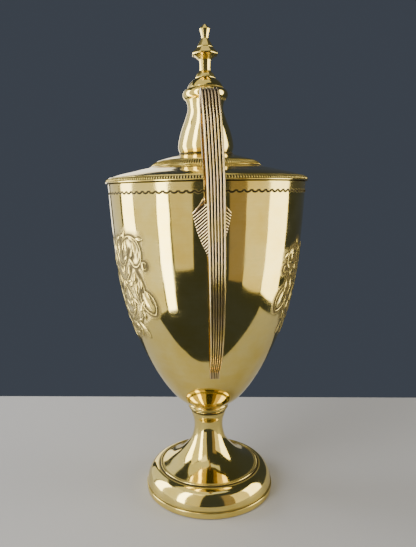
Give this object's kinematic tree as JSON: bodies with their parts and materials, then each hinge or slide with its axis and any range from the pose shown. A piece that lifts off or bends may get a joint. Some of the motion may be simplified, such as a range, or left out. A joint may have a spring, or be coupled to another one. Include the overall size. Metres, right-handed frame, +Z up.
{
  "type": "covered loving cup",
  "caption": "Tall urn-shaped presentation cup in polished brass, on a domed foot, with high strap handles and a lift-off cover with a knob and a faceted finial.",
  "frame": {"origin": "middle of the foot's underside, on the plane it stands on", "axes": "+Z up the cup's axis, X through both handles, Y across the two decorated faces"},
  "size_m": [0.2706, 0.1684, 0.4],
  "materials": {
    "foot_brass": "polished, spun, with fine turning scratches",
    "bowl_brass": "polished, with chased ornament darkened in the lines",
    "handle_brass": "cast, polished on the reeds, dull between them",
    "cover_brass": "polished, spun, with a beaded rim and a knurled step",
    "knob_brass": "polished, spun",
    "finial_brass": "cast and filed, satin"
  },
  "bodies": {
    "root": {"foot": "foot_brass", "bowl": "bowl_brass", "handle_right": "handle_brass", "handle_left": "handle_brass", "cover": "cover_brass", "cover_knob": "knob_brass", "finial": "finial_brass"}
  },
  "joints": []
}
